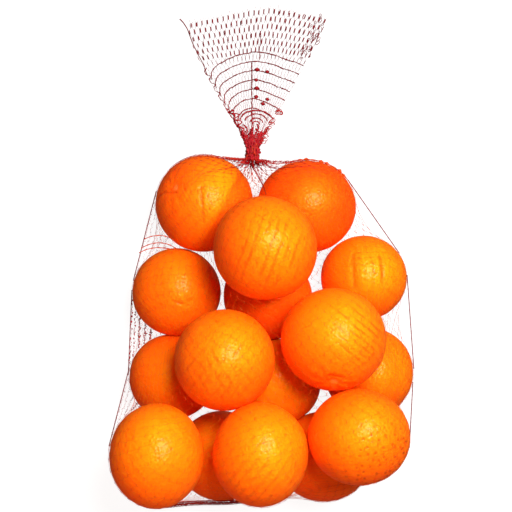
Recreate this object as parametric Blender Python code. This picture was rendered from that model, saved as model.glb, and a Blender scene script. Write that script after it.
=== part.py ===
"""A net bag of sixteen mandarins, lying on its back with its best side up.

The whole bag is one closed solid, out to the net. The net is a knitted tube that is sewn
up flat at the foot, drawn tight over two layers of fruit, bunched at the neck and spread
in a fan at its open end. Metres, +Z up; the fruit lies towards -Y and the fan towards +Y.
"""

import math

import bmesh
import bpy
import numpy as np

MM = 0.001

# Fruit that lies on the ground: x, y and radius of each in mm, and its width and its length
# along the bag as shares of that, because a mandarin is a little flattened towards its stem
LOWER_FRUIT = (
    (-38, 32, 31.5, 1.005, 0.995),
    (28, 30, 31.0, 1.028, 0.972),
    (65, -16, 27.6, 1.006, 0.994),
    (-56, -25, 28.5, 1.003, 0.997),
    (3, -28, 28.5, 1.0, 1.0),
    (-59, -80, 27.7, 1.011, 0.989),
    (68, -77, 29.0, 1.0, 1.0),
    (9, -83, 28.0, 1.0, 1.0),
    (-27, -131, 29.0, 1.0, 1.0),
    (39, -131, 30.2, 1.037, 0.964),
)
# Fruit that lies on those
UPPER_FRUIT = (
    (1, 3, 32.0, 1.0, 1.0),
    (-24, -66, 31.2, 0.994, 1.006),
    (43, -53, 32.0, 1.009, 0.991),
    (-66, -125, 30.8, 0.956, 1.046),
    (-2, -123, 30.8, 0.958, 1.043),
    (58, -112, 30.3, 1.027, 0.973),
)
SQUASH = 0.8  # how far a fruit gives, in mm, where it lies on the ground

# The net, in mm
NET_THICKNESS = 0.6
FOOT = (-20, -162, 36)  # middle of the sewn edge
FOOT_WIDTH = 84
FOOT_DEPTH = 3
NECK = (-7, 60, 36)  # where the net is drawn together
NECK_RADIUS = 4.6
NECK_LENGTH = 8
NECK_PLEATS = 7
PLEAT_DEPTH = 0.16  # of the neck's radius
PLEAT_TWIST = 2.2  # how far the pleats turn along the neck, in radians
NECK_WAIST = 0.08
FAN_LENGTH = 95
FAN_WIDTH = 97
FAN_DEPTH = 3.0
FAN_BOW = 8  # how far the middle of the fan's edge stands out beyond its corners
FAN_LEAN = 4.5  # how far the fan drifts to the right along its length
FAN_PLEATS = 5
FAN_RIPPLE = 1.2
FAN_SPREAD = 0.9  # power of the fan's spread along its length: under 1 it opens sooner
TAIL_FALL = 82  # length over which the tail comes down to the ground
TAIL_START = 6  # how far beyond the root of the neck it begins to

# How the net's surface is divided, and how it is drawn tight
AROUND = 72
BAG_ROWS = 64
NECK_ROWS = 3
FAN_ROWS = 8
ROOMY = 4  # clearance of the slack net round the fruit, in mm
SQUARENESS = 0.6  # power of the slack net's section: 1 is an ellipse, 0 a box
END_SHARE = 0.22  # of the rows, those that close each end of the slack net
COARSE_STEPS = 900
FINE_STEPS = 250
LENGTHWAYS = 0.7  # share of the net's tightness that runs from foot to neck
GIVE = 0.45
GLIDE = 0.9
SETTLE_STEPS = 200
LAST_STEPS = 3
SINK = 4.0  # pull into the hollows against the net's tightness, in mm a step
HOLLOW_DEPTH = 30  # the deepest that the net sinks between the fruit
FIRM_ROWS = 4  # rows next to the foot and the neck that don't sink
LOOSE_ROWS = 8  # rows beyond those over which the net comes to sink freely
FIRM_TILT = -0.35  # upward share of the direction it faces, under which the net doesn't sink
LOOSE_TILT = 0.3


def clear_scene():
    for item in list(bpy.data.objects):
        bpy.data.objects.remove(item, do_unlink=True)


def stacked_fruit():
    """Centre and half sizes of every fruit: an upper one sits on the lower one it meets first."""
    centres = [(x, y, radius - SQUASH) for x, y, radius, _, _ in LOWER_FRUIT]
    for x, y, radius, _, _ in UPPER_FRUIT:
        height = radius - SQUASH
        for (other_x, other_y, other_z), other in zip(centres, LOWER_FRUIT):
            apart = math.hypot(x - other_x, y - other_y)
            reach = radius + other[2]
            if apart < reach:
                height = max(height, other_z + math.sqrt(reach**2 - apart**2))
        centres.append((x, y, height))
    halves = [
        (radius * width, radius * length, radius)
        for _, _, radius, width, length in LOWER_FRUIT + UPPER_FRUIT
    ]
    return np.array(centres), np.array(halves)


def smooth_step(t):
    t = np.clip(t, 0.0, 1.0)
    return t * t * (3 - 2 * t)


def turns(count):
    """The angle of each point round a ring, from +X over the top to -X and back underneath."""
    return 2 * math.pi * np.arange(count) / count


def rounded(share, power):
    return np.sign(share) * np.abs(share) ** power


def ring(count, middle, half_width, half_depth, power=1.0):
    """A ring across the bag: an ellipse, or a fuller shape where power is under 1."""
    points = np.zeros((count, 3))
    points[:, 0] = middle[0] + half_width * rounded(np.cos(turns(count)), power)
    points[:, 1] = middle[1]
    points[:, 2] = middle[2] + half_depth * rounded(np.sin(turns(count)), power)
    return points


def slack_net(centres, halves, rows, count):
    """The net before it is drawn tight: a roomy sack round all the fruit."""
    low = (centres - halves).min(axis=0) - ROOMY
    high = (centres + halves).max(axis=0) + ROOMY
    middle = (low + high) / 2
    half = (high - low) / 2
    foot = ring(count, FOOT, FOOT_WIDTH / 2, FOOT_DEPTH / 2)
    neck = neck_ring(count, 0.0)
    net = []
    for row in range(rows + 1):
        t = row / rows
        along = min(max((t - END_SHARE) / (1 - 2 * END_SHARE), 0.0), 1.0)
        y = low[1] + (high[1] - low[1]) * along
        full = ring(count, (middle[0], y, middle[2]), half[0], half[2], SQUARENESS)
        if t < END_SHARE:
            full = foot + (full - foot) * (t / END_SHARE)
        elif t > 1 - END_SHARE:
            full = neck + (full - neck) * ((1 - t) / END_SHARE)
        net.append(full)
    return np.array(net)


def off_the_fruit(net, centres, reach):
    """Move every point that is inside a fruit to that fruit's surface."""
    for centre, half in zip(centres, reach):
        away = (net - centre) / half
        length = np.sqrt(np.einsum("...i,...i", away, away))
        inside = length < 1
        net[inside] = centre + half * away[inside] / length[inside][:, None]
    return net


def draw_in(net, centres, reach, steps):
    """Pull every point towards its four neighbours, and keep it off the fruit and the ground."""
    speed = np.zeros_like(net)
    foot = net[0].copy()
    neck = net[-1].copy()
    for _ in range(steps):
        around = np.roll(net, -1, axis=1) + np.roll(net, 1, axis=1)
        along = net[:-2] + net[2:]
        pull = (LENGTHWAYS * along + (1 - LENGTHWAYS) * around[1:-1]) / 2 - net[1:-1]
        speed[1:-1] = GLIDE * speed[1:-1] + GIVE * pull
        moved = off_the_fruit(net + speed, centres, reach)
        moved[..., 2] = np.maximum(moved[..., 2], 0.0)
        moved[0] = foot
        moved[-1] = neck
        speed = moved - net
        net = moved
    return net


def finer(net):
    """The same net, divided twice as finely each way."""
    around = np.zeros((net.shape[0], 2 * net.shape[1], 3))
    around[:, 0::2] = net
    around[:, 1::2] = (net + np.roll(net, -1, axis=1)) / 2
    both = np.zeros((2 * around.shape[0] - 1, around.shape[1], 3))
    both[0::2] = around
    both[1::2] = (around[1:] + around[:-1]) / 2
    return both


def outward(net):
    """The direction that the net faces at every point."""
    along = np.gradient(net, axis=0)
    around = np.roll(net, -1, axis=1) - np.roll(net, 1, axis=1)
    normal = np.cross(along, around)
    return normal / np.maximum(np.linalg.norm(normal, axis=2, keepdims=True), 1e-9)


def room_inside(net, facing, centres, reach):
    """How far each point of the net can sink straight in before it meets a fruit."""
    room = np.full(net.shape[:2], float(HOLLOW_DEPTH))
    for centre, half in zip(centres, reach):
        place = (net - centre) / half
        way = -facing / half
        square = np.einsum("...i,...i", way, way)
        towards = np.einsum("...i,...i", place, way)
        past = np.einsum("...i,...i", place, place) - 1
        meets = towards**2 - square * past
        distance = (-towards - np.sqrt(np.maximum(meets, 0))) / square
        ahead = (meets > 0) & (towards < 0)
        room = np.where(ahead, np.minimum(room, np.maximum(distance, 0)), room)
    return room


def settle(net, centres, reach):
    """Let the net sink into the hollows between the fruit, on top and along the sides."""
    facing = outward(net)
    rows = np.arange(len(net))
    from_ends = np.minimum(rows, rows[-1] - rows)
    loose = smooth_step((from_ends - FIRM_ROWS) / LOOSE_ROWS)[:, None]
    loose = loose * smooth_step((facing[..., 2] - FIRM_TILT) / LOOSE_TILT)
    room = room_inside(net, facing, centres, reach) * loose
    sunk = np.zeros(net.shape[:2])
    for _ in range(SETTLE_STEPS):
        around = np.roll(sunk, 1, axis=1) + np.roll(sunk, -1, axis=1)
        mean = sunk.copy()
        mean[1:-1] = (sunk[:-2] + sunk[2:] + around[1:-1]) / 4
        sunk = np.clip(mean + SINK * loose, 0, room)
    return net - facing * sunk[..., None]


def drawn_bag():
    """The net between foot and neck, tight at the sides and settled into the hollows on top."""
    centres, halves = stacked_fruit()
    reach = halves + NET_THICKNESS / 2
    slack = slack_net(centres, halves, BAG_ROWS // 2, AROUND // 2)
    net = draw_in(slack, centres, reach, COARSE_STEPS)
    net = finer(net)
    net[0] = ring(AROUND, FOOT, FOOT_WIDTH / 2, FOOT_DEPTH / 2)
    net[-1] = neck_ring(AROUND, 0.0)
    net = draw_in(net, centres, reach, FINE_STEPS)
    net = settle(net, centres, reach)
    net = draw_in(net, centres, reach, LAST_STEPS)
    net[..., 2] = np.where(net[..., 2] < NET_THICKNESS, 0.0, net[..., 2])
    return net


def tail_height(y):
    """Height of the net's middle beyond the neck: it comes down and lies flat."""
    fall = smooth_step((y - NECK[1] - TAIL_START) / TAIL_FALL)
    return NECK[2] + (FAN_DEPTH / 2 - NECK[2]) * fall


def neck_ring(count, t):
    """The bunched net at a share t of the neck's length, with its pleats standing out."""
    bulge = 1 + PLEAT_DEPTH * np.cos(NECK_PLEATS * turns(count) + PLEAT_TWIST * t)
    waist = 1 - NECK_WAIST * math.sin(math.pi * t)
    radius = NECK_RADIUS * waist * bulge
    y = NECK[1] + NECK_LENGTH * t
    points = np.zeros((count, 3))
    points[:, 0] = NECK[0] + radius * np.cos(turns(count))
    points[:, 1] = y
    points[:, 2] = tail_height(y) + radius * np.sin(turns(count))
    return points


def fan_ring(count, t):
    """The two flat layers of the open end, at a share t of the fan's length."""
    turn = turns(count)
    across = 1 - 2 * np.minimum(turn, 2 * math.pi - turn) / math.pi
    side = rounded(np.sin(turn), 0.5)
    half_width = NECK_RADIUS + (FAN_WIDTH / 2 - NECK_RADIUS) * t**FAN_SPREAD
    half_depth = FAN_DEPTH / 2 + (NECK_RADIUS - FAN_DEPTH / 2) * (1 - t) ** 2
    y = NECK[1] + NECK_LENGTH + (FAN_LENGTH - FAN_BOW * across**2) * t
    ripple = FAN_RIPPLE * math.sin(math.pi * t) * np.cos(FAN_PLEATS * math.pi * across)
    middle = np.maximum(tail_height(y) + ripple, half_depth)
    points = np.zeros((count, 3))
    points[:, 0] = NECK[0] + half_width * across + FAN_LEAN * t
    points[:, 1] = y
    points[:, 2] = middle + half_depth * side
    return points


def pressed_flat(row, step):
    """A last row just beyond this one, where the net's two layers meet and end together."""
    edge = (row + row[-np.arange(len(row))]) / 2
    edge[:, 1] = row[:, 1] + step
    return edge


def net_rows():
    bag = drawn_bag()
    neck = [neck_ring(AROUND, row / NECK_ROWS) for row in range(1, NECK_ROWS + 1)]
    fan = [fan_ring(AROUND, row / FAN_ROWS) for row in range(1, FAN_ROWS + 1)]
    foot_edge = pressed_flat(bag[0], -FOOT_DEPTH / 2)
    fan_edge = pressed_flat(fan[-1], FAN_DEPTH / 2)
    return np.concatenate([[foot_edge], bag, neck, fan, [fan_edge]])


def net_material():
    material = bpy.data.materials.new("mandarins_in_red_net")
    material.use_nodes = True
    shader = material.node_tree.nodes["Principled BSDF"]
    shader.inputs["Base Color"].default_value = (0.95, 0.27, 0.02, 1)
    shader.inputs["Roughness"].default_value = 0.45
    shader.inputs["Metallic"].default_value = 0.0
    return material


def centre_on_origin(mesh):
    """The origin lies on the ground, under the middle of the bag's length and width."""
    places = np.array([vertex.co for vertex in mesh.verts])
    middle = (places.min(axis=0) + places.max(axis=0)) / 2
    bmesh.ops.translate(mesh, verts=mesh.verts, vec=(-middle[0], -middle[1], 0))


def net_bag(rows):
    """A grid rolled into a tube along the net's rows, its seam and its two flat ends welded shut."""
    mesh = bmesh.new()
    bmesh.ops.create_grid(mesh, x_segments=AROUND, y_segments=len(rows) - 1, size=1)
    mesh.verts.ensure_lookup_table()
    for index, vertex in enumerate(mesh.verts):
        row, place = divmod(index, AROUND + 1)
        vertex.co = rows[row, place % AROUND] * MM
    bmesh.ops.remove_doubles(mesh, verts=mesh.verts, dist=1e-5)
    bmesh.ops.triangulate(mesh, faces=mesh.faces, quad_method="SHORT_EDGE")
    bmesh.ops.recalc_face_normals(mesh, faces=mesh.faces)
    centre_on_origin(mesh)
    data = bpy.data.meshes.new("net_bag")
    mesh.to_mesh(data)
    mesh.free()
    data.shade_smooth()
    data.materials.append(net_material())
    return bpy.data.objects.new("net_bag", data)


def main():
    clear_scene()
    collection = bpy.data.collections.new("bag_of_mandarins")
    bpy.context.scene.collection.children.link(collection)
    collection.objects.link(net_bag(net_rows()))


main()
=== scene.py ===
"""A red net bag of sixteen mandarins, lying on its back on a pale table."""

import math

import bmesh
import bpy
import numpy as np
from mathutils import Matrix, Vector, noise
from mathutils.bvhtree import BVHTree
from numpy.linalg import norm


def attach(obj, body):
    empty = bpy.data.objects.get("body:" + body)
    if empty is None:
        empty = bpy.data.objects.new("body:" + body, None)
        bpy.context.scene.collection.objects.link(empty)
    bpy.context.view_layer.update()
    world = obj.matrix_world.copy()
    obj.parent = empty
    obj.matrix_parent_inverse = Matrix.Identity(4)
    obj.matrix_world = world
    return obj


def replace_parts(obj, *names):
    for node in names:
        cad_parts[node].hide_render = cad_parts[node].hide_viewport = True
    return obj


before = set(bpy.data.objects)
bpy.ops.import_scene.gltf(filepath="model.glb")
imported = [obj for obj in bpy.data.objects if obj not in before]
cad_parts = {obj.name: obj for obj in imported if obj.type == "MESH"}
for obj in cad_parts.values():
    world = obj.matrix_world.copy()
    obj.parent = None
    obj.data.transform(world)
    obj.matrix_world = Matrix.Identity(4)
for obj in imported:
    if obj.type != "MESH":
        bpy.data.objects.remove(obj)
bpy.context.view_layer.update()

MM = 0.001


# --- The table, the light and the camera ------------------------------------------------
# A pale table under one large soft lamp, with the camera straight above the bag. A weak
# warm light stands for what a wall throws back onto the fruit.

TABLE_SIZE = 20.0
TABLE_COLOUR = (0.12, 0.12, 0.12)
TABLE_GRAIN = (9.0, 0.97)  # fineness, and brightness of its darkest grain
TABLE_GLOW = 0.93
ROOM_LIGHT = (1.0, 0.62, 0.40)  # the room's own soft light, warm from its walls
ROOM_STRENGTH = 0.22
CAMERA_AT = (-0.0047, -0.0018, 1.0)
VIEW_WIDTH = 0.3405  # of table that the camera sees, in metres
SENSOR = 36.0
LAMP_AT = (0.34, 0.37, 1.15)
LAMP_SIZE = 0.60
LAMP_POWER = 28.5
LAMP_COLOUR = (1.0, 1.0, 1.0)
FILL_AT = (-0.25, -0.70, 0.35)
FILL_SIZE = 0.8
FILL_POWER = 1.8
FILL_COLOUR = (1.0, 0.30, 0.06)


def finish(name):
    """Start a material. Gives its coordinates, and functions to add a node and to finish it.

    Inputs are given by name: another node's output is linked, and anything else is set.
    """
    material = bpy.data.materials.new(name)
    material.use_nodes = True
    tree = material.node_tree

    def fill_in(node, inputs):
        for key, value in inputs.items():
            if isinstance(value, bpy.types.NodeSocket):
                tree.links.new(value, node.inputs[key])
            else:
                node.inputs[key].default_value = value

    def add(kind, output, inputs, **settings):
        node = tree.nodes.new("ShaderNode" + kind)
        for setting, value in settings.items():
            setattr(node, setting, value)
        fill_in(node, inputs)
        return node.outputs[output]

    def shaded_with(inputs):
        fill_in(tree.nodes["Principled BSDF"], inputs)
        return material

    return add("TexCoord", "Object", {}), add, shaded_with


def put_in(name, data):
    """Put an object into the scene."""
    added = bpy.data.objects.new(name, data)
    bpy.context.scene.collection.objects.link(added)
    return added


def show(name, mesh, material):
    """Put a finished mesh into the scene as an object that lies at the origin."""
    data = bpy.data.meshes.new(name)
    mesh.to_mesh(data)
    mesh.free()
    data.shade_smooth()
    data.materials.append(material)
    return put_in(name, data)


def table_finish():
    place, add, shaded_with = finish("pale_table")
    scale, dark = TABLE_GRAIN
    grain = add("TexNoise", "Fac", {"Vector": place, "Scale": scale})
    tone = add("MapRange", "Result", {"Value": grain, "To Min": dark, "To Max": 1.0})
    tints = {"A": (*[dark * c for c in TABLE_COLOUR], 1), "B": (*TABLE_COLOUR, 1)}
    return shaded_with({
        "Base Color": add("Mix", "Result", {"Factor": tone, **tints}, data_type="RGBA"),
        "Roughness": 0.8,
        "Emission Color": (1, 1, 1, 1),
        "Emission Strength": TABLE_GLOW,
    })


table_top = bmesh.new()
bmesh.ops.create_grid(table_top, x_segments=1, y_segments=1, size=TABLE_SIZE / 2)
table = show("table", table_top, table_finish())
table.visible_diffuse = False
table.visible_glossy = False

world = bpy.data.worlds.new("room")
world.use_nodes = True
world.node_tree.nodes["Background"].inputs["Color"].default_value = (*ROOM_LIGHT, 1)
world.node_tree.nodes["Background"].inputs["Strength"].default_value = ROOM_STRENGTH
bpy.context.scene.world = world
bpy.context.scene.view_settings.view_transform = "Standard"


def soft_light(name, place, size, power, colour):
    """A round soft light that is turned towards the bag."""
    data = bpy.data.lights.new(name, "AREA")
    data.shape = "DISK"
    data.size = size
    data.energy = power
    data.color = colour
    light = put_in(name, data)
    light.location = place
    light.rotation_euler = Vector(place).to_track_quat("Z", "Y").to_euler()
    return light


soft_light("soft_lamp", LAMP_AT, LAMP_SIZE, LAMP_POWER, LAMP_COLOUR)
fill = soft_light("warm_fill", FILL_AT, FILL_SIZE, FILL_POWER, FILL_COLOUR)
fill.visible_glossy = False

camera_data = bpy.data.cameras.new("camera")
camera_data.sensor_width = SENSOR
camera_data.lens = SENSOR * CAMERA_AT[2] / VIEW_WIDTH
camera = put_in("camera", camera_data)
camera.location = CAMERA_AT
bpy.context.scene.camera = camera


# --- The mandarins ----------------------------------------------------------------------
# Sixteen loose-skinned citrus fruit in two layers, each a little flattened towards its stem
# and pressed flat where it touches the table or a neighbour. The peel is a waxy skin full
# of oil glands, puckered round the scar where the stem was cut.

# x, y and radius in mm; width and length against that radius; way the stem points; redness
ON_THE_TABLE = {
    "f07": (-38, 32, 31.5, 1.005, 0.995, (-0.60, 0.32, 0.73), 0.45),
    "f08": (28, 30, 31.0, 1.028, 0.972, (0.25, 0.93, -0.25), 1.15),
    "f09": (65, -16, 27.6, 1.006, 0.994, (0.75, 0.30, -0.60), 0.28),
    "f10": (-56, -25, 28.5, 1.003, 0.997, (-0.35, 0.20, -0.90), 0.36),
    "f13": (3, -28, 28.5, 1.000, 1.000, (0.30, 0.60, -0.75), 1.00),
    "f11": (-59, -80, 27.7, 1.011, 0.989, (-0.80, -0.20, -0.55), 0.65),
    "f12": (68, -77, 29.0, 1.000, 1.000, (0.85, -0.10, -0.50), 0.50),
    "f14": (9, -83, 28.0, 1.000, 1.000, (-0.20, 0.40, -0.90), 0.05),
    "f15": (-27, -131, 29.0, 1.000, 1.000, (0.10, -0.70, -0.70), 0.70),
    "f16": (39, -131, 30.2, 1.037, 0.964, (-0.20, -0.92, -0.30), 0.55),
}
ON_THOSE = {
    "f06": (1, 3, 32.0, 1.000, 1.000, (-0.30, -0.55, -0.78), 0.35),
    "f04": (-24, -66, 31.2, 0.994, 1.006, (0.40, -0.60, -0.68), 0.20),
    "f05": (43, -53, 32.0, 1.009, 0.991, (-0.075, -0.78, 0.62), 0.35),
    "f01": (-66, -125, 30.8, 0.956, 1.046, (-0.95, 0.10, -0.25), 0.30),
    "f02": (-2, -123, 30.8, 0.958, 1.043, (0.93, -0.20, -0.30), 0.30),
    "f03": (58, -112, 30.3, 1.027, 0.973, (0.25, -0.92, -0.28), 0.20),
}
SQUASH = 0.8  # how far a fruit gives, in mm, where it lies on the table
TABLE_GAP = 0.5  # the net's thickness under the fruit, in mm
TOUCH_GAP = 0.05
TOUCH_REACH = 1  # in mm, how near two fruit are for their sides to be pressed flat
STEM_FLATTENING = 0.012  # of the radius
STEM_HOLLOW = (1.5, 0.20)  # depth in mm and half-width in radians
FLOWER_HOLLOW = (0.6, 0.12)
PUCKERS = 9
PUCKER_DEPTH = 0.22
PUCKER_RING = (0.30, 0.20)  # where they are deepest and how soon they fade, in radians
PUCKER_WOBBLE = 1.5
LUMPS = ((0.034, 0.50), (0.11, 0.16), (0.33, 0.07))  # fineness per mm, and height in mm
# Creases in the peel: ways to both ends, depth and half-width in mm
CREASES = {
    "f07": (
        ((-0.94, 0.10, 0.30), (-0.80, 0.21, 0.56), 0.8, 0.7),
        ((-0.80, 0.21, 0.56), (-0.56, 0.20, 0.80), 0.7, 0.7),
        ((-0.40, 0.36, 0.84), (-0.37, 0.22, 0.90), 0.6, 0.6),
        ((-0.04, 0.30, 0.95), (0.00, -0.05, 1.00), 0.7, 0.6),
        ((0.00, -0.05, 1.00), (0.02, -0.40, 0.91), 0.5, 0.6),
    ),
    "f05": (((-0.12, -0.66, 0.74), (0.14, -0.68, 0.72), 0.6, 1.2),),
    "f09": (
        ((-0.30, 0.55, 0.78), (-0.27, -0.20, 0.94), 0.4, 1.4),
        ((0.32, 0.50, 0.80), (0.36, -0.10, 0.93), 0.4, 1.4),
    ),
    "f10": (((0.02, -0.20, 0.98), (0.16, -0.25, 0.95), 0.5, 0.9),),
}
CREASE_FULL_SHADE = 0.7  # depth in mm from which the painted shade in a crease is as dark as it gets
PAINTED_SHADOW_SIDE = {"f07": ((0.885, -0.457, -0.091), 0.272)}  # painted shadow: redder past this plane across it, where the neighbouring fruit's shadow falls
PAINTED_SHADOW_STRENGTH = 0.65  # how much redder the painted shadow is
PAINTED_SHADOW_EDGE = 0.05  # and over what share of the radius the painted shadow's edge comes about

# painted light: the yellow of the side of each fruit that is turned towards the lamp
PEEL_PAINTED_LIGHT = (0.98, 0.238, 0.002)
PEEL_ORANGE = (0.97, 0.118, 0.002)
PEEL_RED = (0.95, 0.058, 0.002)
PEEL_PORE = (0.80, 0.075, 0.002)
PEEL_SPECK = (0.30, 0.055, 0.006)
PEEL_DENT = (0.48, 0.040, 0.002)
# painted shade, for the creases and for f07's side in its neighbour's shadow
PEEL_PAINTED_SHADE = (0.72, 0.045, 0.002)
PEEL_PALE = (0.98, 0.36, 0.10)
PEEL_SHEEN = (1.0, 0.62, 0.02)
# Painted light: the side of each fruit turned towards the lamp is painted yellower: its middle,
# and where it starts and stops to fade, as shares of the radius
PAINTED_LIGHT_SIDE = (0.25, 0.33, 0.91)
PAINTED_LIGHT_FADE = (0.35, 1.25)
# Fineness per metre of the peel's patches, blush, oil glands, specks and unevenness
PATCHES, BLUSH, GLANDS, SPECKS, UNEVEN = 26.0, 11.0, 460.0, 62.0, 300.0
# Marks that the tight net left in the peel: kind, way it runs in degrees, spacing in mm,
# strength, way to the middle of the patch, and the patch's half-width in mm
IMPRINTS = {
    "f06": (
        ("streaks", 71, 5.0, 0.62, (0.05, -0.10, 1.00), 31),
        ("dots", 12, 4.0, 0.50, (0.00, 0.60, 0.80), 11),
    ),
    "f05": (
        ("streaks", -40, 3.6, 0.60, (0.45, 0.15, 0.88), 27),
        ("dots", 0, 5.0, 0.50, (0.50, -0.45, 0.74), 17),
    ),
    "f03": (
        ("dots", 20, 5.0, 0.80, (0.60, -0.44, 0.66), 38),
        ("dots", 65, 4.0, 0.70, (0.84, -0.36, 0.40), 20),
    ),
    "f02": (("streaks", 52, 5.0, 0.40, (0.00, -0.20, 0.95), 32),),
    "f04": (
        ("streaks", 52, 4.4, 0.44, (-0.10, -0.15, 0.98), 29),
        ("streaks", -58, 5.0, 0.50, (-0.06, -0.25, 0.96), 24),
    ),
    "f01": (("streaks", 40, 4.0, 0.15, (0.20, -0.20, 0.95), 32),),
    "f07": (
        ("dots", 0, 3.2, 0.30, (0.15, 0.15, 0.98), 16),
        ("dots", 0, 2.4, 0.55, (-0.74, 0.42, 0.52), 13),
    ),
    "f09": (("streaks", 88, 8.0, 0.18, (0.10, 0.10, 1.00), 26),),
    "f10": (("dots", 0, 3.8, 0.25, (0.10, 0.00, 1.00), 20),),
    "f12": (("streaks", 60, 6.0, 0.20, (0.10, 0.10, 1.00), 28),),
}
# Small blemishes: which way from the fruit's middle, and half-width and strength of each
BLEMISHES = {
    "f01": (((-0.40, 0.79, 0.46), 0.7, 0.5),),
    "f02": (
        ((0.05, 0.33, 0.94), 0.9, 0.7),
        ((0.14, 0.31, 0.94), 0.7, 0.5),
        ((-0.19, 0.84, 0.51), 1.2, 0.4),
    ),
    "f03": (((0.23, 0.31, 0.92), 1.0, 0.7),),
    "f05": (((0.22, -0.58, 0.78), 1.6, 0.45), ((0.42, -0.52, 0.74), 1.1, 0.35)),
    "f07": (((-0.47, 0.25, 0.85), 1.0, 0.5), ((-0.02, 0.24, 0.97), 0.7, 0.4)),
    "f10": (((0.09, -0.23, 0.97), 1.1, 0.6),),
}
PALE_SCARS = {"f05": ((-0.03, -0.79, 0.60), 3.4), "f07": ((-0.57, 0.31, 0.75), 2.8)}


def stacked(lower, upper):
    """Middle of each fruit in mm: an upper one sits on the lower one that it meets first."""
    middles = {}
    for name, (x, y, radius, *_) in lower.items():
        middles[name] = np.array((x, y, radius - SQUASH))
    for name, (x, y, radius, *_) in upper.items():
        height = radius - SQUASH
        for other, (other_x, other_y, other_radius, *_) in lower.items():
            apart = math.hypot(x - other_x, y - other_y)
            reach = radius + other_radius
            if apart < reach:
                height = max(height, middles[other][2] + math.sqrt(reach**2 - apart**2))
        middles[name] = np.array((x, y, height))
    return middles


FRUIT = {**ON_THE_TABLE, **ON_THOSE}
MIDDLE = stacked(ON_THE_TABLE, ON_THOSE)
HALF = {
    name: np.array((radius * wide, radius * long, radius))
    for name, (_, _, radius, wide, long, *_) in FRUIT.items()
}


def smooth_step(t):
    t = np.clip(t, 0.0, 1.0)
    return t * t * (3 - 2 * t)


def hump(t, middle, spread):
    """1 at the middle, and down to nothing on both sides of it."""
    return math.exp(-(((t - middle) / spread) ** 2))


def seed_of(name):
    number = int(name[1:])
    return Vector((3.7 * number, 11.3 - 2.9 * number, 5.1 * number))


def crease_depth(name, direction, radius):
    """How deep the peel's creases are in this direction, in mm."""
    depth = 0.0
    for start, end, deepest, half_width in CREASES.get(name, ()):
        start = Vector(start).normalized()
        span = Vector(end).normalized() - start
        share = max(0.0, min(1.0, (direction - start).dot(span) / span.length_squared))
        apart = (direction - (start + share * span).normalized()).length
        depth += deepest * hump(apart * radius, 0.0, half_width)
    return depth


def relief(direction, stem, first, second, radius, seed):
    """How far the peel stands out from a smooth ball, in mm."""
    lean = direction.dot(stem)
    turn = math.acos(max(-1.0, min(1.0, lean)))
    round_stem = math.atan2(direction.dot(second), direction.dot(first))
    height = -STEM_FLATTENING * radius * lean**2
    height -= STEM_HOLLOW[0] * hump(turn, 0.0, STEM_HOLLOW[1])
    height -= FLOWER_HOLLOW[0] * hump(turn, math.pi, FLOWER_HOLLOW[1])
    wobble = PUCKER_WOBBLE * noise.noise(direction * 2 + seed)
    pucker = math.cos(PUCKERS * round_stem + wobble)
    height += PUCKER_DEPTH * hump(turn, *PUCKER_RING) * pucker
    for fineness, size in LUMPS:
        height += size * noise.noise(direction * radius * fineness + seed)
    return height


def touching(name):
    """The planes where a fruit is pressed against its neighbours: way to each, and distance."""
    planes = []
    for other in FRUIT:
        if other == name:
            continue
        between = MIDDLE[other] - MIDDLE[name]
        apart = norm(between)
        way = between / apart
        own = 1 / norm(way / HALF[name])
        theirs = 1 / norm(way / HALF[other])
        if apart < own + theirs + TOUCH_REACH:
            planes.append((way, (apart**2 + own**2 - theirs**2) / (2 * apart) - TOUCH_GAP))
    return planes


def mandarin(name):
    """One fruit: a fine ball, flattened, puckered at the stem, lumpy and with creases, carrying
    painted shade in its creases and on a shaded side.
    """
    radius, stem, seed = FRUIT[name][2], Vector(FRUIT[name][5]).normalized(), seed_of(name)
    axis = stem.normalized()
    first = axis.orthogonal().normalized()
    second = axis.cross(first)
    planes = touching(name)
    mesh = bmesh.new()
    bmesh.ops.create_icosphere(mesh, subdivisions=6, radius=1)
    painted_shade = mesh.verts.layers.float.new("painted_shade")
    for vertex in mesh.verts:
        direction = vertex.co.normalized()
        depth = crease_depth(name, direction, radius)
        height = relief(direction, stem, first, second, radius, seed) - depth
        point = HALF[name] * np.array(direction) * (1 + height / radius)
        for way, distance in planes:
            point -= max(point @ way - distance, 0.0) * way
        point += MIDDLE[name]
        point[2] = max(point[2], TABLE_GAP)
        vertex.co = point * MM
        # The attribute holds painted shade: the deeper a crease, the darker it is painted
        vertex[painted_shade] = min(depth / CREASE_FULL_SHADE, 1.0)
        # Painted shadow on f07's side, where its neighbour's shadow falls
        if name in PAINTED_SHADOW_SIDE:
            way, distance = PAINTED_SHADOW_SIDE[name]
            past = direction.dot(Vector(way)) - distance
            vertex[painted_shade] += PAINTED_SHADOW_STRENGTH * float(smooth_step(past / PAINTED_SHADOW_EDGE))
    return mesh


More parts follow.
